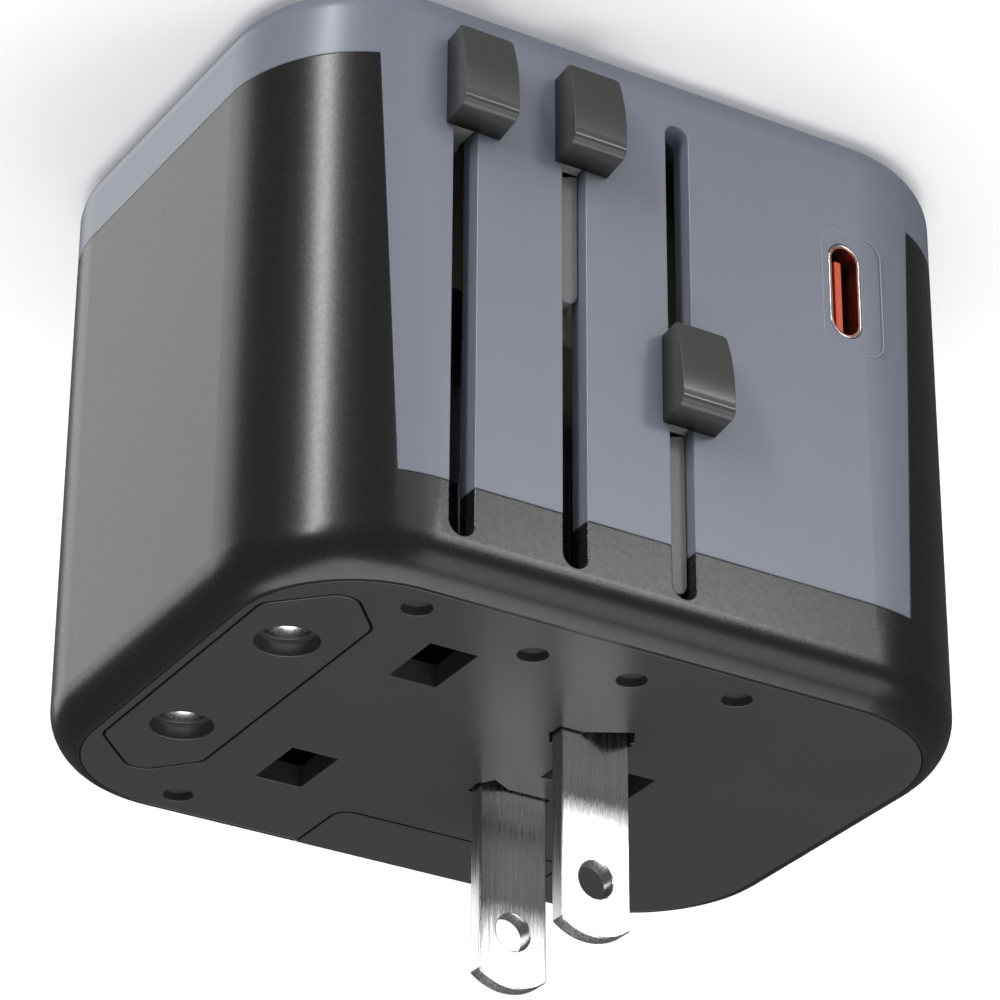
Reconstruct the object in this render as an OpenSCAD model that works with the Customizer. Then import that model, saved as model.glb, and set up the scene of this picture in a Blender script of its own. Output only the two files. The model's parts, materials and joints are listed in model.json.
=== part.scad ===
// Universal travel adapter: three sliding plugs, a universal outlet and a USB-C port.
// Millimetres. Z points the way the plug pins leave the body, and z = 0 is the outlet face.
// The knob side faces -Y, the EU plug block is on the +X side and the USB port on the -X side.

/* [Body] */
// Width across the EU side and the USB side
body_w = 67.7; // [67:0.1:69]
// Depth from the knob side to the back
body_d = 50.9; // [50:0.1:52]
// Height from the outlet face to the plug face
body_h = 53.45; // [53:0.05:54]
// Thickness of the side walls
wall_t = 2.3; // [2:0.1:2.4]
// Thickness of the wall at the outlet end
end_t = 3.6; // [3.4:0.1:3.8]
// Radius of the two upright corners on the EU side
eu_corner_r = 12.8; // [12:0.1:13.4]
// Radius of the two upright corners on the USB side
usb_corner_r = 14.5; // [13.5:0.1:14.5]
// Radius of the rounded edge at the outlet end
outlet_edge_r = 3; // [2:0.1:3.4]
// Radius of the rounded edge at the plug end
plug_edge_r = 4.4; // [4:0.1:4.6]
// Turn of the plug end's edge before it meets the flat face, in degrees
plug_edge_turn = 60; // [55:1:62]

/* [Grey cover] */
// Height of the grey band round the outlet end
band_h = 7.2; // [6.8:0.1:7.6]
// Height at which the grey front panel ends
panel_top = 45; // [44:0.1:46]
// Middle of the panel
panel_x = 0.7; // [0:0.1:1]
// Half width of the panel where it leaves the band
panel_half_low = 25.75; // [25:0.05:26.5]
// Half width of the panel at its far end
panel_half_high = 23.85; // [23:0.05:24.5]

/* [Knobs and slots] */
// Width of each slot
slot_w = 2.23; // [2.2:0.01:2.4]
// Height where the slots start
slot_low = 5.5; // [5.4:0.1:5.7]
// Height where the slots end
slot_high = 49.4; // [49.3:0.1:49.8]
// Place of the EU slot across the front
eu_slot_x = 19.19; // [19:0.01:19.4]
// Place of the UK slot across the front
uk_slot_x = 9.04; // [8.9:0.01:9.2]
// Place of the US and AUS slot across the front
us_slot_x = -0.97; // [-1.1:0.01:-0.8]
// Width of a knob
knob_w = 4.95; // [4.5:0.05:5.2]
// Length of a knob along its slot
knob_l = 8.4; // [8:0.1:8.8]
// How far a knob stands out of the front
knob_out = 3.05; // [2.6:0.05:3.3]
// How far a knob's middle lies from its slot's middle
knob_shift = -0.62; // [-0.7:0.01:0]

/* [Plugs] */
// Height of the EU knob's lower end at rest
eu_knob_z = 4.4; // [4.3:0.1:4.6]
// Height of the UK knob's lower end at rest
uk_knob_z = 4.6; // [4.5:0.1:4.8]
// Height of the US knob's lower end at rest, with its blades out
us_knob_z = 25.8; // [25.6:0.1:26]
// Length of a US blade outside the body
blade_out = 17.4; // [16:0.02:17.5]
// Length of the UK line pins outside the body once they are out
uk_line_out = 17.7; // [17.2:0.1:18]
// Length of the UK earth pin outside the body once it is out
uk_earth_out = 22.7; // [22.2:0.1:23]
// Distance that the UK plug travels
uk_travel = 23.7; // [23.6:0.1:23.8]

/* [Hidden] */
$fn = 64;

half_w = body_w / 2;
half_d = body_d / 2;
past = 1;
gap = 0.05;
seam_gap = 0.22;

// The plug end: its edge stops at plug_edge_turn, so the flat face meets it at a crisp line.
edge_drop = plug_edge_r * sin(plug_edge_turn);
edge_z = body_h - edge_drop;
rim_reach = 5;
rim_overlap = 0.2;
rim_w = 0.4;
plate_inset = plug_edge_r * (1 - cos(plug_edge_turn)) + rim_w;
plate_t = 2;
plate_z = body_h - plate_t;

// The outline's four corner arcs: [centre x, centre y, radius, first angle].
eu_mid = [half_w - eu_corner_r, half_d - eu_corner_r];
usb_mid = [half_w - usb_corner_r, half_d - usb_corner_r];
ARCS = [
    [eu_mid.x, eu_mid.y, eu_corner_r, 0],
    [-usb_mid.x, usb_mid.y, usb_corner_r, 90],
    [-usb_mid.x, -usb_mid.y, usb_corner_r, 180],
    [eu_mid.x, -eu_mid.y, eu_corner_r, 270]
];

// Points of the plugs, from their standards: where each pin meets the plug face.
eu_pin_x = 25.6;
eu_pin_y = [-9.85, 7.89];
eu_pin_r = 2;
eu_core_r = 1.5;
uk_line_x = 13.88;
uk_line_y = [-12.135, 10.095];
uk_line_size = [3.96, 6.3];
uk_earth_xy = [-8.35, -1.02];
uk_earth_size = [7.96, 3.96];
uk_sleeve_l = 9.5;
line_window_play = [0.27, 0.2];
earth_window_play = [0.44, 0.44];
blade_x = -3.81;
blade_y = [-7.02, 5.68];
blade_w = 6.35;
blade_t = 1.5;
blade_pivot_x = blade_x + 1;
blade_turn = 30;

// Heights of the carriages at rest.
carriage_t = 4;
uk_plate_z = 23.5;
us_arm_z = 46;
eu_bar_z = 9;
eu_bar_t = 3.8;
eu_block_z = 32;
web_w = 2;
strip_w = 2.04;
strip_depth = 1.12;
web_back_y = -19.5;
front_y = -half_d;
wall_back_y = -half_d + wall_t;
knob_gap = 0.1;

// The outlet and the contacts behind it.
line_y = -9;
earth_y = 13.2;
block_z = 5.7;
block_top = 22;
shutter_z = 4.2;
shutter_t = 1.2;
contact_t = 0.5;
bar_x = 12.5;
bar_w = 3;
bar_t = 0.8;
live_bar_y = -16.4;
live_bar_top = 46.5;
neutral_bar_y = 14.6;

// The USB port and its board.
usb_x = -17.6;
usb_z = 16.1;
usb_open = [2.56, 8.34];
usb_shell_t = 0.3;
board_x = -21.2;
board_t = 1.2;

// The fuse drawer.
drawer_low = [-15.2, 15.55];
drawer_high_x = 6.7;
drawer_z = 45;
fuse_r = 2.6;
fuse_l = 20;
fuse_y = 19.4;
fuse_z = 48.7;

function edge_normal(a, b) = [b.y - a.y, a.x - b.x] / norm(b - a);

// A convex outline with rounded corners, from the corners' centres in anticlockwise order.
module soft_outline(centres, r) {
    n = len(centres);
    polygon([
        for (i = [0:n - 1])
            let (here = centres[i], last = centres[(i + n - 1) % n], next = centres[(i + 1) % n])
            each [here + r * edge_normal(last, here), here + r * edge_normal(here, next)]
    ]);
    for (centre = centres)
        translate(centre)
            circle(r);
}

module soft_rect(size, r) {
    a = size.x / 2 - r;
    b = size.y / 2 - r;
    soft_outline([[-a, -b], [a, -b], [a, b], [-a, b]], r);
}

// A box from its low corner to its high corner.
module span(low, high) {
    translate(low)
        cube(high - low);
}

// The body's outline, moved inwards by inset.
module outline(inset) {
    upper = [
        [half_w - inset, eu_mid.y],
        [eu_mid.x, half_d - inset],
        [-usb_mid.x, half_d - inset],
        [inset - half_w, usb_mid.y]
    ];
    n = len(upper);
    polygon(concat(upper, [for (i = [n - 1:-1:0]) [upper[i].x, -upper[i].y]]));
    for (arc = ARCS)
        translate([arc[0], arc[1]])
            circle(arc[2] - inset);
}

// Section through the rounded edge at the outlet end: x = 0 is the wall's outer face.
module outlet_edge_section() {
    r = outlet_edge_r;
    translate([-rim_reach, 0])
        square([rim_reach - r, r]);
    intersection() {
        translate([-r, r])
            circle(r);
        translate([-r, -past])
            square([r + past, r + past]);
    }
}

// Section through the rounded edge at the plug end, up to its crisp line.
module plug_edge_section() {
    r = plug_edge_r;
    translate([-rim_reach, edge_z])
        square([rim_reach - r, edge_drop]);
    intersection() {
        translate([-r, edge_z])
            circle(r);
        translate([-r, edge_z])
            square([r + past, edge_drop]);
    }
}

module wall_run(turn, distance, from, to) {
    rotate([0, 0, turn])
        translate([distance, to, 0])
            rotate([90, 0, 0])
                linear_extrude(to - from)
                    children();
}

// Carries an edge section all the way round the outline.
module rim() {
    wall_run(0, half_w, -eu_mid.y, eu_mid.y)
        children();
    wall_run(90, half_d, -eu_mid.x, usb_mid.x)
        children();
    wall_run(180, half_w, -usb_mid.y, usb_mid.y)
        children();
    wall_run(270, half_d, -usb_mid.x, eu_mid.x)
        children();
    for (arc = ARCS)
        translate([arc[0], arc[1], 0])
            rotate([0, 0, arc[3]])
                rotate_extrude(angle = 90)
                    translate([arc[2], 0])
                        children();
}

module outlet_end() {
    rim()
        outlet_edge_section();
    linear_extrude(outlet_edge_r)
        outline(rim_reach - rim_overlap);
}

module plug_end() {
    rim()
        plug_edge_section();
    translate([0, 0, edge_z])
        linear_extrude(edge_drop)
            outline(rim_reach - rim_overlap);
}

module straight_walls(low, high) {
    translate([0, 0, low])
        linear_extrude(high - low)
            outline(0);
}

module cavity() {
    lip_z = 50;
    translate([0, 0, end_t])
        linear_extrude(lip_z - end_t)
            outline(wall_t);
    translate([0, 0, lip_z - past])
        linear_extrude(body_h - lip_z + 2 * past)
            outline(plate_inset);
}

// The wedge of space that the grey front panel takes.
module panel_space() {
    panel_back_y = -18;
    translate([panel_x, panel_back_y, 0])
        rotate([90, 0, 0])
            linear_extrude(half_d + panel_back_y + past)
                polygon([
                    [-panel_half_low, band_h], [panel_half_low, band_h],
                    [panel_half_high, panel_top], [-panel_half_high, panel_top]
                ]);
}

module slot(x) {
    r = slot_w / 2;
    translate([x, wall_back_y + past, 0])
        rotate([90, 0, 0])
            linear_extrude(wall_t + 2 * past)
                soft_outline([[0, slot_low + r], [0, slot_high - r]], r);
}

module all_slots() {
    for (x = [eu_slot_x, uk_slot_x, us_slot_x])
        slot(x);
}

module usb_outline(grow) {
    soft_rect(usb_open + [2, 2] * grow, usb_open.x / 2 + grow - 0.01);
}

module usb_hole(grow) {
    translate([usb_x, wall_back_y + past, usb_z])
        rotate([90, 0, 0])
            linear_extrude(wall_t + 2 * past)
                usb_outline(grow);
}

module drawer_outline(grow) {
    r = 1.4;
    far = half_d + 2 * past;
    soft_outline([
        drawer_low + [r, r], [drawer_high_x - r, drawer_low.y + r],
        [drawer_high_x - r, far], [drawer_low.x + r, far]
    ], r + grow);
}

module drawer_space(grow) {
    translate([0, 0, drawer_z - grow])
        linear_extrude(body_h)
            drawer_outline(grow);
}

module main_shell() {
    color("#2b2b2d")
        difference() {
            union() {
                straight_walls(band_h, edge_z);
                plug_end();
            }
            panel_space();
            cavity();
            all_slots();
            drawer_space(seam_gap);
        }
}

module socket_insert_outline(grow) {
    soft_rect([46, 38] + [2, 2] * grow, 8 + grow);
}

socket_insert_y = 1;

module socket_cover() {
    color("#7d818c")
        difference() {
            union() {
                outlet_end();
                straight_walls(outlet_edge_r, band_h);
                intersection() {
                    straight_walls(band_h, panel_top);
                    panel_space();
                }
            }
            cavity();
            all_slots();
            usb_hole(usb_shell_t + gap);
            translate([0, socket_insert_y, -past])
                linear_extrude(end_t + 2 * past)
                    socket_insert_outline(gap);
        }
}

// One side of the outlet: openings for UK, EU, US and AUS line pins in one shape.
module line_aperture() {
    translate([11.1, line_y])
        square([7.2, 4.6], center = true);
    translate([9.5, line_y])
        circle(r = 2.5);
    translate([6.35, line_y])
        square([2.3, 7.4], center = true);
    translate([6.85, line_y])
        rotate(-blade_turn)
            square([2.2, 7.2], center = true);
}

module earth_aperture() {
    translate([0, earth_y])
        square([4.6, 8.6], center = true);
    translate([0, 2.9])
        circle(r = 2.6);
    translate([0, 1.3])
        square([2.2, 7], center = true);
}

module socket_face() {
    color("#4c4e55")
        difference() {
            translate([0, socket_insert_y, 0])
                linear_extrude(end_t)
                    socket_insert_outline(0);
            translate([0, 0, -past])
                linear_extrude(end_t + 2 * past) {
                    line_aperture();
                    mirror([1, 0])
                        line_aperture();
                    earth_aperture();
                }
        }
}

// The hexagonal EU block, seen from the plug face.
module eu_block_outline(grow) {
    r = 1.5;
    middle = [25.7, -1];
    half = [4.6 - r, 17.8 - r];
    cut = 3.4;
    soft_outline([
        middle + [half.x, cut - half.y], middle + [half.x, half.y - cut],
        middle + [half.x - cut, half.y], middle + [-0.6, half.y],
        middle + [-half.x, half.y - cut + 0.6], middle + [-half.x, cut - 0.6 - half.y],
        middle + [-0.6, -half.y], middle + [half.x - cut, -half.y]
    ], r + grow);
}

function turned(point, angle) = [
    point.x * cos(angle) - point.y * sin(angle),
    point.x * sin(angle) + point.y * cos(angle)
];

// A US blade's slot: the blade straight, the blade turned, and the wedges that it sweeps.
module blade_opening(y, turn) {
    play = 0.25;
    size = [blade_w, blade_t] + [2, 2] * play;
    side = sign(turn) * size.y / 2;
    shy = 0.95;
    long = size.x / 2 + blade_pivot_x - blade_x;
    short = size.x - long;
    translate([blade_pivot_x, y]) {
        for (angle = [0, turn])
            rotate(angle)
                translate([blade_x - blade_pivot_x, 0])
                    square(size, center = true);
        polygon([[0, 0], shy * [-long, -side], shy * turned([-long, side], turn)]);
        polygon([[0, 0], shy * [short, side], shy * turned([short, -side], turn)]);
    }
}

peg_xy = [[19.89, -19.98], [8.23, -17.83], [-0.74, -18.07], [-9.73, -19.47], [19.72, 20.02]];
peg_hole_r = 1.25;

module plug_plate() {
    color("#303032")
        difference() {
            translate([0, 0, plate_z])
                linear_extrude(plate_t)
                    difference() {
                        outline(plate_inset + gap);
                        eu_block_outline(seam_gap);
                        for (y = uk_line_y)
                            translate([uk_line_x, y])
                                square(uk_line_size + line_window_play, center = true);
                        translate(uk_earth_xy)
                            square(uk_earth_size + earth_window_play, center = true);
                        blade_opening(blade_y[0], blade_turn);
                        blade_opening(blade_y[1], -blade_turn);
                        for (xy = peg_xy)
                            translate(xy)
                                circle(peg_hole_r);
                        drawer_outline(seam_gap);
                    }
        }
}

module plate_pegs() {
    recess = 0.7;
    color("#1d1d1f")
        for (xy = peg_xy)
            translate([xy.x, xy.y, plate_z])
                cylinder(h = plate_t - recess, r = peg_hole_r - gap);
}

module shutter() {
    wing = [10.4, 9.2];
    color("#b9bbc0")
        translate([0, line_y, shutter_z])
            linear_extrude(shutter_t) {
                for (side = [-1, 1])
                    translate([side * (4.5 + wing.x / 2), 0])
                        square(wing, center = true);
                translate([0, 1.2 - wing.y / 2])
                    square([11, 2.4], center = true);
            }
}

module contact_block() {
    color("#e4e2da")
        difference() {
            span([-16, -14, block_z], [16, 18.6, block_top]);
            for (side = [-1, 1])
                translate([side * 10.1, line_y, block_z - past])
                    linear_extrude(14.5)
                        square([10.2, 8.6], center = true);
            span([-4.2, -3, block_z - past], [4.2, 17.8, block_z + 14]);
            span([-20, 6, 17], [-8, 30, 30]);
            span([8, 6, 17], [11.5, 30, 30]);
        }
}

// Two spring leaves on a back strip.
module spring_contact(size, leaf_gap, depth) {
    for (side = [-1, 1])
        translate([0, side * (leaf_gap + contact_t) / 2, depth / 2])
            cube([size, contact_t, depth], center = true);
    translate([0, 0, depth - contact_t / 2])
        cube([size, leaf_gap + 2 * contact_t, contact_t], center = true);
}

module line_contact(side) {
    color("#c8a24a")
        translate([side * 10.1, line_y, block_z + 0.6])
            spring_contact(9.4, 7.1, 12.6);
}

module live_contact() {
    line_contact(1);
}

module neutral_contact() {
    line_contact(-1);
}

module earth_contact() {
    color("#c8a24a")
        translate([0, 7.4, block_z + 0.6])
            rotate([0, 0, 90])
                spring_contact(20, 5.6, 12.2);
}

// Strips that carry current from the outlet up to the sliding pins.
module live_busbar() {
    foot_y = -12.4;
    tab_x = 17.9;
    tab_y = -19.4;
    tab_z = 41;
    bend_x = tab_x - 2 + bar_t;
    color("#d5d0c0") {
        span([bar_x, live_bar_y - bar_t, block_top], [bar_x + bar_w, live_bar_y, live_bar_top]);
        span([bar_x, live_bar_y - bar_t, block_top], [bar_x + bar_w, foot_y, block_top + bar_t]);
        span([bar_x, live_bar_y - bar_t, tab_z], [bend_x, live_bar_y, live_bar_top]);
        span([bend_x - bar_t, tab_y, tab_z], [bend_x, live_bar_y, live_bar_top]);
        span([bend_x - bar_t, tab_y, tab_z], [tab_x, tab_y + 0.7, live_bar_top]);
    }
}

module neutral_busbar() {
    foot_y = 11.6;
    top = 44;
    color("#c8a24a") {
        span([bar_x, neutral_bar_y, block_top], [bar_x + bar_w, neutral_bar_y + bar_t, top]);
        span([bar_x, foot_y, block_top], [bar_x + bar_w, neutral_bar_y + bar_t, block_top + bar_t]);
    }
}

module usb_board() {
    low = [-21.5, 5];
    high = [18, 42];
    color("#1f6b3a")
        span([board_x, low.x, low.y], [board_x + board_t, high.x, high.y]);
}

module usb_c_shell() {
    depth = 7.2;
    color("#c9ccd0")
        translate([usb_x, front_y + depth + 0.1, usb_z])
            rotate([90, 0, 0])
                difference() {
                    linear_extrude(depth)
                        usb_outline(usb_shell_t);
                    translate([0, 0, 0.5])
                        linear_extrude(depth)
                            usb_outline(0);
                }
}

module usb_c_tongue() {
    half = [0.35, 3.35];
    from_y = front_y + 1;
    to_y = front_y + 6.8;
    color("#d9552f")
        span([usb_x - half.x, from_y, usb_z - half.y], [usb_x + half.x, to_y, usb_z + half.y]);
}

module transformer() {
    low = [-30.6, -8, 14];
    high = [board_x, 8, 31];
    former_r = 3;
    middle = (low + high) / 2;
    color("#d8b648")
        difference() {
            span(low, high);
            for (y = [low.y, high.y])
                translate([middle.x, y, middle.z])
                    rotate([0, 90, 0])
                        cylinder(h = high.x - low.x + 2 * past, r = former_r, center = true);
        }
}

// Each place is y, z and radius.
module capacitors() {
    height = 7.6;
    color("#35507d")
        for (place = [[13.5, 13, 3.4], [13.5, 22, 3.4], [-13, 34, 3]])
            translate([board_x - height, place.x, place.y])
                rotate([0, 90, 0])
                    cylinder(h = height, r = place.z);
}

// Section through the drawer: the body's back wall and edge, filled in behind.
module drawer_section() {
    depth = half_d - drawer_low.y + past;
    translate([-depth, drawer_z])
        square([depth, edge_z - drawer_z]);
    translate([-depth, edge_z - past])
        square([depth - plug_edge_r, edge_drop + past]);
    plug_edge_section();
}

module fuse_drawer() {
    face_t = 1.6;
    end_w = 0.75;
    color("#2e2e30")
        difference() {
            intersection() {
                wall_run(90, half_d, -drawer_high_x - past, past - drawer_low.x)
                    drawer_section();
                drawer_space(0);
            }
            span(
                [drawer_low.x + end_w, drawer_low.y - past, drawer_z - past],
                [drawer_high_x - end_w, half_d - wall_t, body_h - face_t]
            );
        }
}

module fuse_axis() {
    translate([(drawer_low.x + drawer_high_x) / 2, fuse_y, fuse_z])
        rotate([0, 90, 0])
            children();
}

cap_l = 5;

module fuse_tube() {
    color("#efeae0")
        fuse_axis()
            cylinder(h = fuse_l - 2 * cap_l, r = fuse_r - 0.15, center = true);
}

module fuse_caps() {
    color("#d0d2d6")
        fuse_axis()
            for (side = [-1, 1])
                translate([0, 0, side * (fuse_l - cap_l) / 2])
                    cylinder(h = cap_l, r = fuse_r, center = true);
}

module fuse_clips() {
    middle = (drawer_low.x + drawer_high_x) / 2;
    color("#c8a24a")
        for (side = [-1, 1])
            translate([middle + side * (fuse_l - cap_l) / 2, 0, 0]) {
                span([-1.6, 16.1, 40], [1.6, 16.6, 50]);
                span([-1.6, 14.2, 40], [1.6, 16.6, 40.6]);
            }
}

module eu_block() {
    sink_r = 2.6;
    sink_d = 1.2;
    color("#2a2a2c")
        difference() {
            translate([0, 0, eu_block_z])
                linear_extrude(body_h - eu_block_z)
                    eu_block_outline(0);
            for (y = eu_pin_y)
                translate([eu_pin_x, y, eu_block_z - past]) {
                    cylinder(h = body_h, r = eu_pin_r + gap);
                    translate([0, 0, body_h - eu_block_z - sink_d + past])
                        cylinder(h = sink_d + past, r = sink_r);
                }
        }
}

// The part of a carriage inside its slot, and the web behind the wall.
module slot_web(x, knob_z, web_top) {
    low = knob_z + 2;
    high = knob_z + knob_l - 0.3;
    span([x - web_w / 2, front_y - knob_gap, low], [x + web_w / 2, wall_back_y + 0.5, high]);
    span([x - web_w / 2, wall_back_y + 0.5, low], [x + web_w / 2, web_back_y, web_top]);
}

// The strip that closes a slot beyond its knob.
module slot_strip(x, from, to) {
    r = strip_w / 2;
    translate([x, wall_back_y + 0.5, 0])
        rotate([90, 0, 0])
            linear_extrude(wall_t + 0.5 - strip_depth) {
                soft_outline([[0, to - r], [0, from + r]], r);
                translate([-web_w / 2, from])
                    square([web_w, 2 * r]);
            }
}

module pin_pocket(xy, size, z) {
    translate([xy.x, xy.y, z])
        linear_extrude(carriage_t)
            square(size + [2, 2] * gap, center = true);
}

module eu_carriage() {
    pocket_z = eu_bar_z + 2;
    color("#38383a")
        difference() {
            union() {
                slot_web(eu_slot_x, eu_knob_z, eu_bar_z + eu_bar_t);
                span([eu_slot_x - web_w / 2, -20.4, eu_bar_z], [27.6, -17, eu_bar_z + eu_bar_t]);
                span([23.4, -17.2, eu_bar_z], [27.8, 12, eu_bar_z + eu_bar_t]);
            }
            for (y = eu_pin_y)
                translate([eu_pin_x, y, pocket_z])
                    cylinder(h = eu_bar_t, r = eu_core_r + gap);
        }
}

// A knob: an arched face, a soft fold and a flat underside.
module knob(x, z) {
    arch_r = 16.4;
    arch_z = 6;
    fold_r = 0.9;
    fold = [knob_l - fold_r - 0.35, knob_out - fold_r - 0.05];
    corner_r = 0.7;
    color("#6a6a68")
        translate([x + knob_shift, front_y - knob_gap, z])
            intersection() {
                rotate([90, 0, 0])
                    linear_extrude(knob_out + past)
                        translate([0, knob_l / 2])
                            soft_rect([knob_w, knob_l], corner_r);
                rotate([90, 0, -90])
                    translate([0, 0, -knob_w])
                        linear_extrude(2 * knob_w)
                            knob_profile(arch_r, arch_z, fold, fold_r);
            }
}

// The knob's side view: x is how far out, y is the way along the slot.
module knob_profile(arch_r, arch_z, fold, fold_r) {
    intersection() {
        translate([knob_out - arch_r, arch_z])
            circle(r = arch_r, $fn = 128);
        union() {
            square([knob_out + past, fold.x]);
            polygon([[0, fold.x - past], [fold.y, fold.x - past], [fold.y, fold.x + fold_r], [0, knob_l]]);
            translate([fold.y, fold.x])
                circle(fold_r);
        }
    }
}

module eu_knob() {
    knob(eu_slot_x, eu_knob_z);
}

module uk_knob() {
    knob(uk_slot_x, uk_knob_z);
}

module us_knob() {
    knob(us_slot_x, us_knob_z);
}

eu_tip_z = body_h - 0.75;
eu_metal_l = 9.5;

module eu_pins() {
    dome_r = 2.6;
    shoulder_z = eu_tip_z - dome_r + sqrt(dome_r * dome_r - eu_pin_r * eu_pin_r);
    core_low = eu_bar_z + 2;
    color("#d8d8da")
        for (y = eu_pin_y)
            translate([eu_pin_x, y, 0])
                rotate_extrude() {
                    translate([0, core_low])
                        square([eu_core_r, shoulder_z - core_low]);
                    translate([0, shoulder_z - eu_metal_l])
                        square([eu_pin_r, eu_metal_l]);
                    intersection() {
                        translate([0, eu_tip_z - dome_r])
                            circle(dome_r);
                        translate([0, shoulder_z - past])
                            square([eu_pin_r, dome_r]);
                    }
                }
}

module eu_pin_sleeves() {
    dome_r = 2.6;
    top = eu_tip_z - dome_r + sqrt(dome_r * dome_r - eu_pin_r * eu_pin_r) - eu_metal_l;
    low = eu_bar_z + eu_bar_t;
    color("#232325")
        for (y = eu_pin_y)
            translate([eu_pin_x, y, low])
                difference() {
                    cylinder(h = top - low, r = eu_pin_r);
                    translate([0, 0, -past])
                        cylinder(h = top - low + 2 * past, r = eu_core_r);
                }
}

module uk_carriage() {
    top = uk_plate_z + carriage_t;
    color("#8b8d90")
        difference() {
            union() {
                slot_web(uk_slot_x, uk_knob_z, top);
                slot_strip(uk_slot_x, uk_knob_z + knob_l - 2, 25.1);
                span([uk_slot_x - web_w / 2, wall_back_y + 0.5, uk_plate_z], [12, -15.4, top]);
                span([11, -15.8, uk_plate_z], [17, 13.8, top]);
                span([-12.8, -3.2, uk_plate_z], [11.5, 1.2, top]);
            }
            for (y = uk_line_y)
                pin_pocket([uk_line_x, y], uk_line_size, top - 2);
            pin_pocket(uk_earth_xy, uk_earth_size, top - 2);
        }
}

// A flat pin with a wedge tip, standing on z = 0.
module wedge_pin(size, height) {
    cut = 1.1;
    slope = 2.2;
    intersection() {
        rotate([90, 0, 0])
            linear_extrude(size.y, center = true)
                pin_side(size.x / 2, height, cut, slope);
        rotate([90, 0, 90])
            linear_extrude(size.x, center = true)
                pin_side(size.y / 2, height, cut, slope);
    }
}

module pin_side(half, height, cut, slope) {
    polygon([
        [-half, 0], [half, 0], [half, height - slope], [half - cut, height],
        [cut - half, height], [-half, height - slope]
    ]);
}

uk_line_tip = body_h + uk_line_out - uk_travel;
uk_pin_low = uk_plate_z + carriage_t - 2;
uk_sleeve_low = uk_plate_z + carriage_t + gap;
uk_sleeve_high = uk_line_tip - uk_line_out + uk_sleeve_l;
uk_core = uk_line_size - [1, 1];

module uk_line_pins() {
    metal_l = uk_line_tip - uk_sleeve_high;
    color("#c9b06a")
        for (y = uk_line_y)
            translate([uk_line_x, y, 0]) {
                translate([0, 0, uk_sleeve_high])
                    wedge_pin(uk_line_size, metal_l);
                translate([0, 0, uk_pin_low])
                    linear_extrude(uk_sleeve_high - uk_pin_low)
                        square(uk_core, center = true);
            }
}

module uk_pin_sleeves() {
    color("#232325")
        for (y = uk_line_y)
            translate([uk_line_x, y, uk_sleeve_low])
                linear_extrude(uk_sleeve_high - uk_sleeve_low)
                    difference() {
                        square(uk_line_size, center = true);
                        square(uk_core, center = true);
                    }
}

module uk_earth_pin() {
    tip = body_h + uk_earth_out - uk_travel;
    color("#c9b06a")
        translate([uk_earth_xy.x, uk_earth_xy.y, uk_pin_low])
            wedge_pin(uk_earth_size, tip - uk_pin_low);
}

hub_r = 2.6;
hub_play = 0.05;

module us_carriage() {
    top = us_arm_z + carriage_t;
    color("#8b8d90")
        difference() {
            union() {
                slot_web(us_slot_x, us_knob_z, top);
                slot_strip(us_slot_x, us_knob_z + knob_l - 2, 48.5);
                span([-5, web_back_y - past, us_arm_z], [1.1, -10.5, top]);
                span([-17, -11, us_arm_z], [1.1, -3.4, top]);
                span([-17, 2, us_arm_z], [1.1, 9.4, top]);
                span([-17, -11, us_arm_z], [-13.2, 9.4, top]);
            }
            for (y = blade_y)
                translate([blade_pivot_x, y, us_arm_z - past])
                    cylinder(h = carriage_t + 2 * past, r = hub_r + hub_play);
        }
}

hub_flange_t = 0.9;
blade_low = us_arm_z + carriage_t + gap + hub_flange_t;

module blade_hub(y) {
    flange_r = 3.2;
    color("#b08d3c")
        translate([blade_pivot_x, y, us_arm_z - gap - hub_flange_t])
            rotate_extrude() {
                square([hub_r, blade_low - us_arm_z + gap + hub_flange_t]);
                square([flange_r, hub_flange_t]);
                translate([0, carriage_t + 2 * gap + hub_flange_t])
                    square([flange_r, hub_flange_t]);
            }
}

// A US blade seen face on, with its rounded tip and its hole.
module blade_face() {
    tip_r = 5;
    hole_r = 1.6;
    hole_out = 12.51;
    height = body_h + blade_out - blade_low;
    difference() {
        translate([-blade_w / 2, 0])
            square([blade_w, height]);
        translate([0, height - tip_r])
            difference() {
                translate([-tip_r - past, 0])
                    square([tip_r + past, tip_r + past] + [tip_r + past, 0]);
                circle(r = tip_r, $fn = 128);
            }
        translate([0, height - blade_out + hole_out])
            circle(r = hole_r);
    }
}

module us_blade(y) {
    color("#e2e2e4")
        translate([blade_x, y, blade_low])
            rotate([90, 0, 0])
                linear_extrude(blade_t, center = true)
                    blade_face();
}

module us_blade_front() {
    us_blade(blade_y[0]);
}

module us_blade_back() {
    us_blade(blade_y[1]);
}

module blade_hub_front() {
    blade_hub(blade_y[0]);
}

module blade_hub_back() {
    blade_hub(blade_y[1]);
}

main_shell();
socket_cover();
socket_face();
plug_plate();
plate_pegs();
shutter();
contact_block();
live_contact();
neutral_contact();
earth_contact();
live_busbar();
neutral_busbar();
usb_board();
usb_c_shell();
usb_c_tongue();
transformer();
capacitors();
fuse_drawer();
fuse_tube();
fuse_caps();
fuse_clips();
eu_block();
eu_carriage();
eu_knob();
eu_pins();
eu_pin_sleeves();
uk_carriage();
uk_knob();
uk_line_pins();
uk_pin_sleeves();
uk_earth_pin();
us_carriage();
us_knob();
us_blade_front();
us_blade_back();
blade_hub_front();
blade_hub_back();
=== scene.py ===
import json
import math

import bmesh
import bpy
from mathutils import Matrix, Vector


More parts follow.
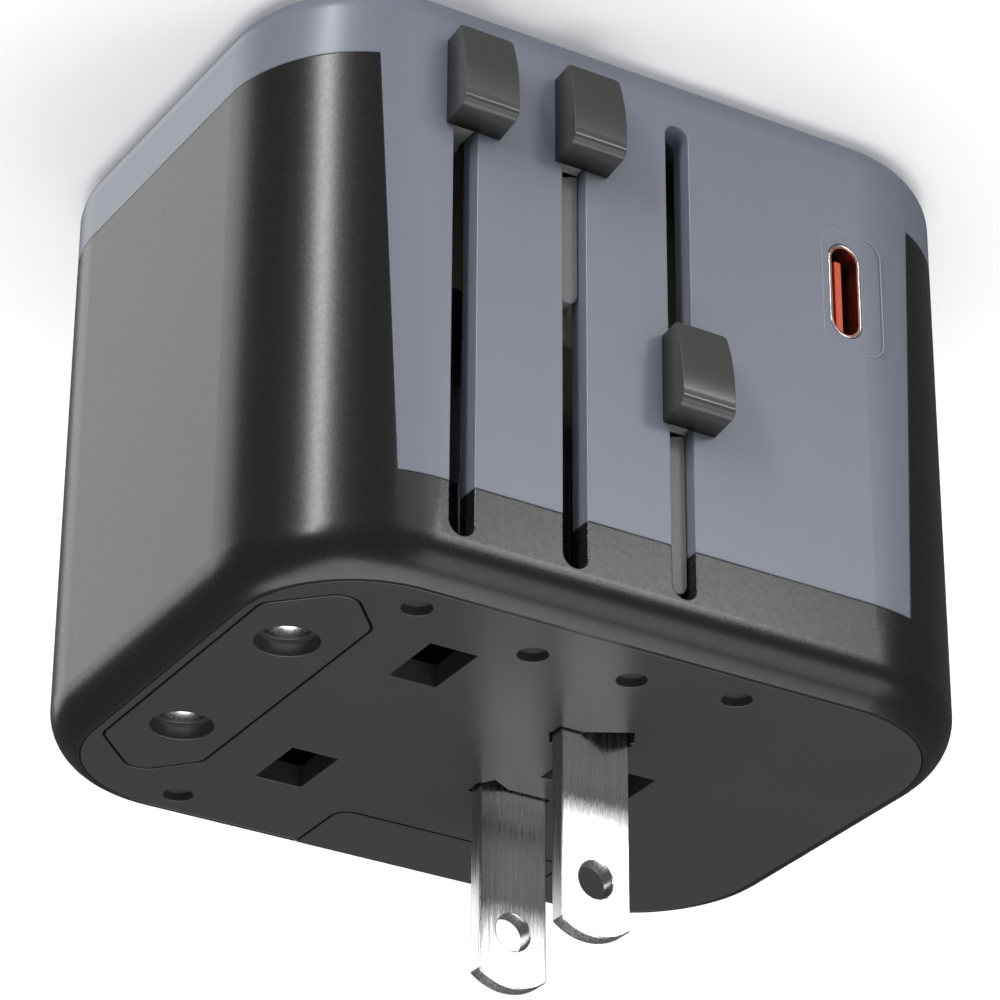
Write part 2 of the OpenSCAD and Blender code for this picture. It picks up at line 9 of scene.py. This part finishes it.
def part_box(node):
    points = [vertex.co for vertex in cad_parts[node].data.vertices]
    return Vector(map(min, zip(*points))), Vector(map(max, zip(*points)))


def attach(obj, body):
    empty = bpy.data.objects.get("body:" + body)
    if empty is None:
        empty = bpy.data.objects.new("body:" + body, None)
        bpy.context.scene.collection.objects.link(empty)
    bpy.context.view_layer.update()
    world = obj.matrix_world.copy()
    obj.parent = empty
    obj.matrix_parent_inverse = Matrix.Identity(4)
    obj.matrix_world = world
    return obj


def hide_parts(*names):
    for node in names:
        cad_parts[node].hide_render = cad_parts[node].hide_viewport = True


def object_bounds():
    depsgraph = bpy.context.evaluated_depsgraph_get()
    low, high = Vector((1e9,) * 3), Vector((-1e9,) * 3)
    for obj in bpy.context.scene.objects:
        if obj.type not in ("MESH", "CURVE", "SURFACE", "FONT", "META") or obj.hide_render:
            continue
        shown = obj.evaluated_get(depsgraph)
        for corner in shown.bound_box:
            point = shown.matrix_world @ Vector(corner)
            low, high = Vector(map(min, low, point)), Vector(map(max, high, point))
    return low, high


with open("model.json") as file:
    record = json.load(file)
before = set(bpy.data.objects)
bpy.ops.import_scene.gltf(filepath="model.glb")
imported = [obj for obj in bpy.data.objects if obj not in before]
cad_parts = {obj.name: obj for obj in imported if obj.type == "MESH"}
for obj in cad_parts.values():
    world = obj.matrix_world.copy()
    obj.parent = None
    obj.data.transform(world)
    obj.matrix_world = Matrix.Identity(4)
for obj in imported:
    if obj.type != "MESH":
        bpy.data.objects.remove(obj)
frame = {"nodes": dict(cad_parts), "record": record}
cad_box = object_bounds()
nodes = frame["nodes"]

MM = 0.001

# Noise values lie mostly between these two.
NOISE_LOW = 0.3
NOISE_HIGH = 0.7

# Patches per metre in the noises, and the heights of the bumps they make.
FLOW_SCALE = 45
GLOSS_SCALE = 1900
GRAIN_SCALE = 4200
GRAIN_HEIGHT = 0.005 * MM
SMUDGE_SCALE = 260
ROLLED_SCALE = 5200
ROLLED_HEIGHT = 0.004 * MM
TAPE_SCALE = 2400
TAPE_HEIGHT = 0.06 * MM

# ---------------------------------------------------------------- materials


def material_with(name, colour, roughness, metallic=0.0, specular=0.5, coat=0.0):
    """An empty node material and its shader, with the values that are the same all over."""
    material = bpy.data.materials.new(name)
    material.use_nodes = True
    shader = material.node_tree.nodes["Principled BSDF"]
    shader.inputs["Base Color"].default_value = (*colour, 1)
    shader.inputs["Roughness"].default_value = roughness
    shader.inputs["Metallic"].default_value = metallic
    shader.inputs["Specular IOR Level"].default_value = specular
    shader.inputs["Coat Weight"].default_value = coat
    material.diffuse_color = (*colour, 1)
    return material, shader


def noise(tree, scale, detail, stretch=(1, 1, 1)):
    """A noise texture in the piece's own space. Scale is in patches per metre."""
    coordinates = tree.nodes.new("ShaderNodeTexCoord")
    mapping = tree.nodes.new("ShaderNodeMapping")
    mapping.inputs["Scale"].default_value = stretch
    texture = tree.nodes.new("ShaderNodeTexNoise")
    texture.inputs["Scale"].default_value = scale
    texture.inputs["Detail"].default_value = detail
    tree.links.new(coordinates.outputs["Object"], mapping.inputs["Vector"])
    tree.links.new(mapping.outputs["Vector"], texture.inputs["Vector"])
    return texture


def spread(tree, value, low, high, socket):
    """Sends a noise value to a socket, laid out between low and high."""
    span = tree.nodes.new("ShaderNodeMapRange")
    span.inputs["From Min"].default_value = NOISE_LOW
    span.inputs["From Max"].default_value = NOISE_HIGH
    span.inputs["To Min"].default_value = low
    span.inputs["To Max"].default_value = high
    tree.links.new(value, span.inputs["Value"])
    tree.links.new(span.outputs["Result"], socket)


def tint(tree, value, colour, contrast, socket):
    """Mottles a colour by a small share of itself."""
    ramp = tree.nodes.new("ShaderNodeValToRGB")
    ramp.color_ramp.elements[0].position = NOISE_LOW
    ramp.color_ramp.elements[1].position = NOISE_HIGH
    ramp.color_ramp.elements[0].color = (*[c * (1 - contrast) for c in colour], 1)
    ramp.color_ramp.elements[1].color = (*[min(1, c * (1 + contrast)) for c in colour], 1)
    tree.links.new(value, ramp.inputs["Fac"])
    tree.links.new(ramp.outputs["Color"], socket)


def bump(tree, height, strength, distance):
    """A bump of that height in metres."""
    node = tree.nodes.new("ShaderNodeBump")
    node.inputs["Strength"].default_value = strength
    node.inputs["Distance"].default_value = distance
    tree.links.new(height, node.inputs["Height"])
    return node.outputs["Normal"]


def plastic(name, colour, roughness, grain=0.35, specular=0.5, coat=0.0, contrast=0.05):
    """Moulded plastic: a spark-eroded grain, patchy gloss and the faint flow of the melt."""
    material, shader = material_with(name, colour, roughness, specular=specular, coat=coat)
    tree = material.node_tree
    flow = noise(tree, FLOW_SCALE, 3, (1, 1, 0.35))
    tint(tree, flow.outputs["Fac"], colour, contrast, shader.inputs["Base Color"])
    gloss = noise(tree, GLOSS_SCALE, 3)
    spread(
        tree, gloss.outputs["Fac"], roughness - 0.012, roughness + 0.016,
        shader.inputs["Roughness"],
    )
    fine = noise(tree, GRAIN_SCALE, 2)
    normal = bump(tree, fine.outputs["Fac"], grain, GRAIN_HEIGHT)
    tree.links.new(normal, shader.inputs["Normal"])
    return material


def metal(name, colour, roughness, lines=0.2, stretch=(1, 1, 0.02)):
    """Plated or rolled metal: lines left by rolling, thin smudges and fine scratches."""
    material, shader = material_with(name, colour, roughness, metallic=1.0)
    tree = material.node_tree
    smudge = noise(tree, SMUDGE_SCALE, 4)
    tint(tree, smudge.outputs["Fac"], colour, 0.04, shader.inputs["Base Color"])
    rolled = noise(tree, ROLLED_SCALE, 3, stretch)
    spread(
        tree, rolled.outputs["Fac"], roughness * 0.75, roughness * 1.35,
        shader.inputs["Roughness"],
    )
    normal = bump(tree, rolled.outputs["Fac"], lines, ROLLED_HEIGHT)
    tree.links.new(normal, shader.inputs["Normal"])
    return material


def woven(name, colour, roughness, pitch):
    """Wound tape: narrow overlapping turns across the core."""
    material, shader = material_with(name, colour, roughness)
    tree = material.node_tree
    coordinates = tree.nodes.new("ShaderNodeTexCoord")
    wave = tree.nodes.new("ShaderNodeTexWave")
    wave.bands_direction = "Z"
    wave.wave_profile = "SAW"
    wave.inputs["Scale"].default_value = 1 / pitch
    wave.inputs["Distortion"].default_value = 0.6
    tree.links.new(coordinates.outputs["Object"], wave.inputs["Vector"])
    tint(tree, wave.outputs["Fac"], colour, 0.18, shader.inputs["Base Color"])
    fine = noise(tree, TAPE_SCALE, 3)
    spread(tree, fine.outputs["Fac"], roughness - 0.05, roughness + 0.1, shader.inputs["Roughness"])
    normal = bump(tree, wave.outputs["Fac"], 0.5, TAPE_HEIGHT)
    tree.links.new(normal, shader.inputs["Normal"])
    return material


looks = {
    "black_plastic": plastic("black_plastic", (0.0095, 0.0095, 0.0098), 0.27, grain=0.2),
    "grey_plastic": plastic("grey_plastic", (0.15, 0.163, 0.2), 0.33, contrast=0.03),
    "outlet_plastic": plastic("outlet_plastic", (0.07, 0.072, 0.08), 0.5, grain=0.6),
    "shutter_plastic": plastic("shutter_plastic", (0.42, 0.42, 0.44), 0.5),
    "ivory_plastic": plastic("ivory_plastic", (0.66, 0.63, 0.55), 0.45),
    "carriage_plastic": plastic("carriage_plastic", (0.17, 0.17, 0.17), 0.42),
    "knob_plastic": plastic("knob_plastic", (0.05, 0.05, 0.049), 0.24, grain=0.15),
    "sleeve_plastic": plastic("sleeve_plastic", (0.026, 0.026, 0.028), 0.4),
    "orange_plastic": plastic("orange_plastic", (0.72, 0.085, 0.025), 0.35, grain=0.2),
    "polished_pin": metal("polished_pin", (0.66, 0.66, 0.67), 0.27),
    "nickel_plate": metal("nickel_plate", (0.74, 0.73, 0.71), 0.2, lines=0.15),
    "contact_brass": metal("contact_brass", (0.78, 0.56, 0.24), 0.24, lines=0.3),
    "board_green": plastic("board_green", (0.02, 0.13, 0.06), 0.28, grain=0.15, coat=0.4),
    "winding_tape": woven("winding_tape", (0.72, 0.5, 0.08), 0.4, 4 * MM),
    "capacitor_sleeve": plastic("capacitor_sleeve", (0.02, 0.05, 0.2), 0.25, grain=0.1, coat=0.3),
    "ceramic": plastic("ceramic", (0.82, 0.8, 0.74), 0.2, grain=0.1, coat=0.5),
}
looks["plate_black"] = plastic("plate_black", (0.032, 0.032, 0.033), 0.3, grain=0.3)
looks["port_metal"] = metal("port_metal", (0.3, 0.13, 0.1), 0.3, lines=0.1)
looks["dull_nickel"] = metal("dull_nickel", (0.34, 0.33, 0.31), 0.36)
looks["chip_black"] = plastic("chip_black", (0.015, 0.015, 0.016), 0.45, grain=0.7)
looks["copper_wire"] = metal("copper_wire", (0.72, 0.3, 0.16), 0.22, stretch=(1, 1, 1))
looks["solder"] = metal("solder", (0.7, 0.71, 0.73), 0.25, stretch=(1, 1, 1))
looks["printed_ink"] = plastic("printed_ink", (0.24, 0.26, 0.31), 0.5, grain=0.1)

slot_of = {part["node"]: part["material_slot"] for part in frame["record"]["subparts"]}
own_look = {
    "plug_plate": "plate_black", "plate_pegs": "plate_black", "eu_block": "plate_black",
    "fuse_drawer": "plate_black", "usb_c_shell": "port_metal", "blade_hub_front": "nickel_plate",
    "blade_hub_back": "nickel_plate", "uk_line_pins": "dull_nickel", "uk_earth_pin": "dull_nickel",
}
for name, node in nodes.items():
    look = own_look.get(name, slot_of[name])
    node.data.materials.clear()
    node.data.materials.append(looks[look])

# ------------------------------------------------------------ edges of nodes

SHARP = math.radians(32)
FLAT = math.radians(0.4)
WELD = 0.002 * MM


def soften(name, width, segments=3):
    """Gives a node the small round that moulded or stamped edges have."""
    node = nodes[name]
    weld = node.modifiers.new("weld", "WELD")
    weld.merge_threshold = WELD
    flat = node.modifiers.new("flat", "DECIMATE")
    flat.decimate_type = "DISSOLVE"
    flat.angle_limit = FLAT
    edge = node.modifiers.new("edge", "BEVEL")
    edge.width = width * MM
    edge.segments = segments
    edge.limit_method = "ANGLE"
    edge.angle_limit = SHARP
    edge.use_clamp_overlap = False
    shade = node.modifiers.new("shade", "WEIGHTED_NORMAL")
    shade.keep_sharp = True


edge_widths = {
    "main_shell": 0.1, "socket_cover": 0.1, "plug_plate": 0.06, "eu_block": 0.08,
    "socket_face": 0.15, "shutter": 0.1, "contact_block": 0.2,
    "us_blade_front": 0.12, "us_blade_back": 0.12, "usb_c_tongue": 0.08,
    "eu_carriage": 0.15, "uk_carriage": 0.15, "us_carriage": 0.15,
    "uk_line_pins": 0.12, "uk_earth_pin": 0.12, "usb_board": 0.06, "transformer": 0.3,
    "capacitors": 0.3, "fuse_caps": 0.2, "fuse_tube": 0.15, "live_contact": 0.1,
    "neutral_contact": 0.1, "earth_contact": 0.1, "live_busbar": 0.1, "neutral_busbar": 0.1,
    "fuse_clips": 0.1,
}
for name, width in edge_widths.items():
    soften(name, width)

# -------------------------------------------------------------- small pieces


def place(piece, look, body):
    """Puts a finished piece in the scene, on its body and with its finish."""
    bpy.context.scene.collection.objects.link(piece)
    piece.data.materials.append(looks[look])
    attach(piece, body)
    return piece


def tube(name, points, thickness, look, body, closed=True):
    """A round line through the points."""
    curve = bpy.data.curves.new(name, "CURVE")
    curve.dimensions = "3D"
    curve.bevel_depth = thickness / 2
    curve.bevel_resolution = 3
    line = curve.splines.new("POLY")
    line.points.add(len(points) - 1)
    for spot, point in zip(line.points, points):
        spot.co = (*point, 1)
    line.use_cyclic_u = closed
    line.use_smooth = True
    return place(bpy.data.objects.new(name, curve), look, body)


def rounded_outline(centre, half_x, half_z, corner, steps=10):
    """Points round a rectangle with round corners, in the plane of the knobs."""
    points = []
    for quarter in range(4):
        turn = math.pi / 2 * quarter
        sx = 1 if quarter in (0, 3) else -1
        sz = 1 if quarter in (0, 1) else -1
        for step in range(steps + 1):
            angle = turn + math.pi / 2 * step / steps
            points.append(Vector((
                centre.x + sx * (half_x - corner) + corner * math.cos(angle),
                centre.y,
                centre.z + sz * (half_z - corner) + corner * math.sin(angle),
            )))
    return points


def blocks(name, boxes, edge, look, body):
    """One mesh of small blocks with rounded edges. Each box is its middle and its size."""
    shape = bmesh.new()
    for middle, size in boxes:
        made = bmesh.ops.create_cube(shape, size=1)
        bmesh.ops.scale(shape, vec=size, verts=made["verts"])
        bmesh.ops.translate(shape, vec=middle, verts=made["verts"])
    bmesh.ops.bevel(
        shape, geom=shape.edges[:], offset=edge, segments=2, affect="EDGES", profile=0.5
    )
    mesh = bpy.data.meshes.new(name)
    shape.to_mesh(mesh)
    shape.free()
    return place(bpy.data.objects.new(name, mesh), look, body)


# Thumb knobs: an arched face that folds over to a short underside, with soft edges all round.
ARCH_R = 16.4 * MM
ARCH_AT = 6.0 * MM
FOLD_R = 0.9 * MM
FOLD_DROP = 0.35 * MM
KNOB_EDGE = 0.22 * MM
KNOB_CORNER = 0.7 * MM
ARCH_STEPS = 28
FOLD_STEPS = 10


def knob_profile(out, length):
    """Points (outward, along) round a knob's side."""
    fold_at = length - FOLD_R - FOLD_DROP
    arch = []
    for step in range(ARCH_STEPS):
        along = fold_at * step / ARCH_STEPS
        arch.append((out - ARCH_R + math.sqrt(ARCH_R ** 2 - (along - ARCH_AT) ** 2), along))
    fold = [
        (out - FOLD_R + FOLD_R * math.cos(a), fold_at + FOLD_R * math.sin(a))
        for a in (math.pi / 2 * step / FOLD_STEPS for step in range(FOLD_STEPS + 1))
    ]
    return [(0, 0)] + arch + fold + [(0, length)]


def knob_cap(node, body):
    """A knob in place of the CAD one."""
    low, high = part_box(node)
    profile = knob_profile(high.y - low.y, high.z - low.z)
    shape = bmesh.new()
    ring = [shape.verts.new((low.x, high.y - out, low.z + along)) for out, along in profile]
    side = shape.faces.new(ring)
    grown = bmesh.ops.extrude_face_region(shape, geom=[side])
    bmesh.ops.translate(
        shape, vec=(high.x - low.x, 0, 0),
        verts=[v for v in grown["geom"] if isinstance(v, bmesh.types.BMVert)],
    )
    bmesh.ops.recalc_face_normals(shape, faces=shape.faces[:])
    corners = [
        edge for edge in shape.edges
        if max(v.co.z for v in edge.verts) < low.z + KNOB_EDGE
        and abs(edge.verts[0].co.y - edge.verts[1].co.y) > KNOB_CORNER
    ]
    bmesh.ops.bevel(
        shape, geom=corners, offset=KNOB_CORNER, segments=6, affect="EDGES", profile=0.5
    )
    sharp = [
        edge for edge in shape.edges
        if edge.calc_face_angle() > SHARP and min(v.co.y for v in edge.verts) < high.y - KNOB_EDGE
    ]
    bmesh.ops.bevel(
        shape, geom=sharp, offset=KNOB_EDGE, segments=5, affect="EDGES", profile=0.5,
        clamp_overlap=True,
    )
    for face in shape.faces:
        face.smooth = True
    mesh = bpy.data.meshes.new(node + "_cap")
    shape.to_mesh(mesh)
    shape.free()
    cap = place(bpy.data.objects.new(node + "_cap", mesh), "knob_plastic", body)
    cap.modifiers.new("shade", "WEIGHTED_NORMAL")
    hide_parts(node)


for plug in ("eu", "uk", "us"):
    knob_cap(plug + "_knob", plug + "_slide")

# USB-C mouth: the polished rolled lip, and the plain line printed round it.
shell_low, shell_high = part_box("usb_c_shell")
mouth = Vector((
    (shell_low.x + shell_high.x) / 2, shell_low.y, (shell_low.z + shell_high.z) / 2,
))
LIP = 0.16 * MM
mouth_half_x = (shell_high.x - shell_low.x) / 2 - LIP / 2
mouth_half_z = (shell_high.z - shell_low.z) / 2 - LIP / 2
tube(
    "usb_c_lip", rounded_outline(mouth, mouth_half_x, mouth_half_z, mouth_half_x),
    LIP, "nickel_plate", "base",
)

# A plain line printed round the port. It lies on the panel's skin.
INK = 0.1 * MM
OUTLINE_ASIDE = 0.7 * MM
OUTLINE_ROOM_X = 1.5 * MM
OUTLINE_ROOM_Z = 1.3 * MM
OUTLINE_CORNER = 1.6 * MM
ring_middle = Vector((mouth.x - OUTLINE_ASIDE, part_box("socket_cover")[0].y, mouth.z))
tube(
    "port_outline",
    rounded_outline(
        ring_middle, mouth_half_x + OUTLINE_ROOM_X, mouth_half_z + OUTLINE_ROOM_Z, OUTLINE_CORNER
    ),
    INK, "printed_ink", "base",
)

# Circuit board: chips, their leads and small parts.
board_low, board_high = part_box("usb_board")
board_x = board_high.x


def on_board(y, z, size):
    """A block standing on the board's inner side, at shares of its width and height."""
    middle = Vector((
        board_x + size[0] / 2,
        board_low.y + y * (board_high.y - board_low.y),
        board_low.z + z * (board_high.z - board_low.z),
    ))
    return middle, size


chips = [
    on_board(0.3, 0.35, (1.2 * MM, 5 * MM, 4 * MM)),
    on_board(0.62, 0.3, (1.6 * MM, 6 * MM, 5 * MM)),
    on_board(0.45, 0.7, (1.1 * MM, 4 * MM, 6 * MM)),
]
blocks("board_chips", chips, 0.12 * MM, "chip_black", "base")
LEAD_SIZE = (0.3 * MM, 0.8 * MM, 0.4 * MM)
LEAD_OUT = 0.35 * MM
LEADS_A_SIDE = 4
leads = []
for middle, size in chips:
    for end in (-1, 1):
        for lead in range(LEADS_A_SIDE):
            offset = Vector((
                -size[0] / 2 + LEAD_SIZE[0] / 2,
                end * (size[1] / 2 + LEAD_OUT),
                (lead - (LEADS_A_SIDE - 1) / 2) * size[2] / LEADS_A_SIDE,
            ))
            leads.append((middle + offset, LEAD_SIZE))
blocks("board_leads", leads, 0.06 * MM, "solder", "base")
RESISTOR_SIZE = (0.6 * MM, 1.6 * MM, 0.8 * MM)
small_parts = [
    on_board(0.12 + 0.11 * column, 0.12 + 0.4 * row, RESISTOR_SIZE)
    for row in range(2) for column in range(7)
]
blocks("board_resistors", small_parts, 0.08 * MM, "ceramic", "base")

# Transformer: turns of enamelled wire round the core.
core_low, core_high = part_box("transformer")
core = (core_low + core_high) / 2
WIRE = 0.45 * MM
COIL_CORNER = 1.2 * MM
for turn in range(5):
    at_x = core_low.x + (core_high.x - core_low.x) * (0.25 + 0.125 * turn)
    loop = [
        Vector((at_x, point.x, point.z))
        for point in rounded_outline(
            Vector((core.y, 0, core.z)),
            (core_high.y - core_low.y) / 2 + WIRE / 2, (core_high.z - core_low.z) / 2 + WIRE / 2,
            COIL_CORNER,
        )
    ]
    tube("coil_turn_%d" % turn, loop, WIRE, "copper_wire", "base")

# ------------------------------------------------------------------- stage

FLOOR_SIZE = 3.0
bpy.ops.mesh.primitive_plane_add(size=FLOOR_SIZE, location=(0, 0, cad_box[0].z - 0.05 * MM))
floor = bpy.context.object
floor.name = "floor"
floor_look, floor_shader = material_with("floor_white", (0.93, 0.93, 0.93), 0.9, specular=0.1)
floor_shader.inputs["Emission Color"].default_value = (1, 1, 1, 1)
floor_shader.inputs["Emission Strength"].default_value = 0.14
floor.data.materials.append(floor_look)
floor.visible_glossy = False
floor.visible_shadow = False

# A pale wall all round, which only the camera sees.
bpy.ops.mesh.primitive_cylinder_add(
    vertices=64, radius=FLOOR_SIZE / 2, depth=FLOOR_SIZE, end_fill_type="NOTHING",
    location=(0, 0, cad_box[0].z + FLOOR_SIZE / 2 - 1 * MM),
)
wall = bpy.context.object
wall.name = "wall"
wall_look, wall_shader = material_with("wall_white", (0, 0, 0), 1.0, specular=0.0)
wall_shader.inputs["Emission Color"].default_value = (1, 1, 1, 1)
wall_shader.inputs["Emission Strength"].default_value = 0.85
wall.data.materials.append(wall_look)
wall.visible_diffuse = False
wall.visible_glossy = False
wall.visible_shadow = False

# ------------------------------------------------------------------ camera

AZIMUTH = math.radians(30.83)
ELEVATION = math.radians(28.49)
ROLL = math.radians(-0.36)
DISTANCE = 341.6 * MM
LENS = 150.4
ASIDE = 0.85 * MM
BELOW = 21.14 * MM

aim = Vector((0, 0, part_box("plug_plate")[1].z))
back = Vector((
    math.sin(AZIMUTH) * math.cos(ELEVATION),
    -math.cos(AZIMUTH) * math.cos(ELEVATION),
    math.sin(ELEVATION),
))
# The pins point down in the view, so the camera hangs upside down.
side = back.cross(Vector((0, 0, 1))).normalized()
down = side.cross(back).normalized()
down = down if down.z > 0 else -down
right = side * math.cos(ROLL) + down * math.sin(ROLL)
below = down * math.cos(ROLL) - side * math.sin(ROLL)

camera = bpy.data.objects.new("camera", bpy.data.cameras.new("camera"))
camera.data.lens = LENS
camera.data.sensor_width = 36
camera.data.shift_x = 0.0054
camera.data.shift_y = 0.0026
camera.data.clip_start = 0.01
station = aim + back * DISTANCE - right * ASIDE - below * BELOW
facing = Matrix((right, -below, back)).transposed().to_4x4()
camera.matrix_world = Matrix.Translation(station) @ facing
bpy.context.scene.collection.objects.link(camera)
bpy.context.scene.camera = camera

# ------------------------------------------------------------------ lights

object_middle = (cad_box[0] + cad_box[1]) / 2


def softbox(name, direction, distance, size, power, size_y=None):
    """A soft light that faces the object."""
    light = bpy.data.lights.new(name, "AREA")
    light.shape = "RECTANGLE"
    light.size = size
    light.size_y = size_y or size
    light.energy = power
    lamp = bpy.data.objects.new(name, light)
    way = Vector(direction).normalized()
    lamp.location = object_middle + way * distance
    lamp.rotation_mode = "QUATERNION"
    lamp.rotation_quaternion = (-way).to_track_quat("-Z", "Y")
    bpy.context.scene.collection.objects.link(lamp)


softbox("top_light", (0, 0, 1), 0.9, 1.2, 13)
softbox("key_light", (-0.5, -0.9, -0.38), 0.6, 0.11, 0.5)
softbox("front_light", (-0.16, -0.82, -0.5), 0.62, 0.3, 0.3)
softbox("plate_light", (-0.45, -0.755, 0.477), 0.6, 0.3, 0.5)
softbox("side_light", (0.45, 0.755, -0.477), 0.7, 0.5, 1.25)
softbox("corner_strip", (0.755, -0.45, -0.477), 0.6, 0.07, 2.4, 0.5)

world = bpy.data.worlds.new("studio")
world.use_nodes = True
world.node_tree.nodes["Background"].inputs["Color"].default_value = (1, 1, 1, 1)
world.node_tree.nodes["Background"].inputs["Strength"].default_value = 0.1
bpy.context.scene.world = world
bpy.context.scene.view_settings.view_transform = "Standard"
